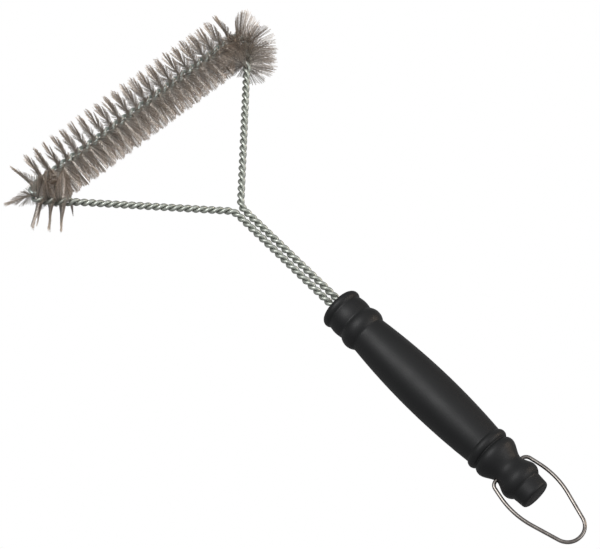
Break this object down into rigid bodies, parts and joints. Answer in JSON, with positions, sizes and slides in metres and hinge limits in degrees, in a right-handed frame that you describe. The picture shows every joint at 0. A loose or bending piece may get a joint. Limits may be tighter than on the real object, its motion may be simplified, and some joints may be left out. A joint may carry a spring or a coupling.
{
  "type": "grill cleaning brush",
  "caption": "Long-handled grill brush: a triangular loop of twisted wire carrying steel bristles, a turned plastic handle and a swinging hanging ring.",
  "frame": {"origin": "middle of the bounding box, at its lowest plane, which is the tips of the bristles", "axes": "+X from the bristled head to the hanging ring along the handle's axis, +Y across the head, +Z square to the plane of the wire loop. The plane of the loop is at z 0.0240"},
  "size_m": [0.5008, 0.256, 0.048],
  "materials": {
    "handle_plastic": "satin moulded black",
    "plug_plastic": "satin moulded black",
    "core_steel": "zinc coated drawn wire",
    "bristle_steel": "fine crimped stainless filaments",
    "ring_steel": "bright drawn stainless wire"
  },
  "bodies": {
    "brush": {"handle": "handle_plastic", "end_plug": "plug_plastic", "core_wire_a": "core_steel", "core_wire_b": "core_steel", "head_tuft_01": "bristle_steel", "head_tuft_02": "bristle_steel", "head_tuft_03": "bristle_steel", "head_tuft_04": "bristle_steel", "head_tuft_05": "bristle_steel", "head_tuft_06": "bristle_steel", "head_tuft_07": "bristle_steel", "head_tuft_08": "bristle_steel", "head_tuft_09": "bristle_steel", "head_tuft_10": "bristle_steel", "head_tuft_11": "bristle_steel", "head_tuft_12": "bristle_steel", "head_tuft_13": "bristle_steel", "head_tuft_14": "bristle_steel", "head_tuft_15": "bristle_steel", "head_tuft_16": "bristle_steel", "head_tuft_17": "bristle_steel", "head_tuft_18": "bristle_steel", "head_tuft_19": "bristle_steel", "head_tuft_20": "bristle_steel", "head_tuft_21": "bristle_steel", "head_tuft_22": "bristle_steel", "left_corner_tuft_01": "bristle_steel", "left_corner_tuft_02": "bristle_steel", "left_corner_tuft_03": "bristle_steel", "left_leg_tuft_01": "bristle_steel", "left_leg_tuft_02": "bristle_steel", "right_corner_tuft_01": "bristle_steel", "right_corner_tuft_02": "bristle_steel", "right_corner_tuft_03": "bristle_steel", "right_leg_tuft_01": "bristle_steel", "right_leg_tuft_02": "bristle_steel"},
    "ring": {"hanging_ring": "ring_steel"}
  },
  "joints": [
    {"name": "ring_swing", "type": "hinge", "parent": "brush", "child": "ring", "pos_m": [0.1797, 0, 0.024], "axis": [0, 1, 0], "range_deg": [-162, 162]}
  ]
}
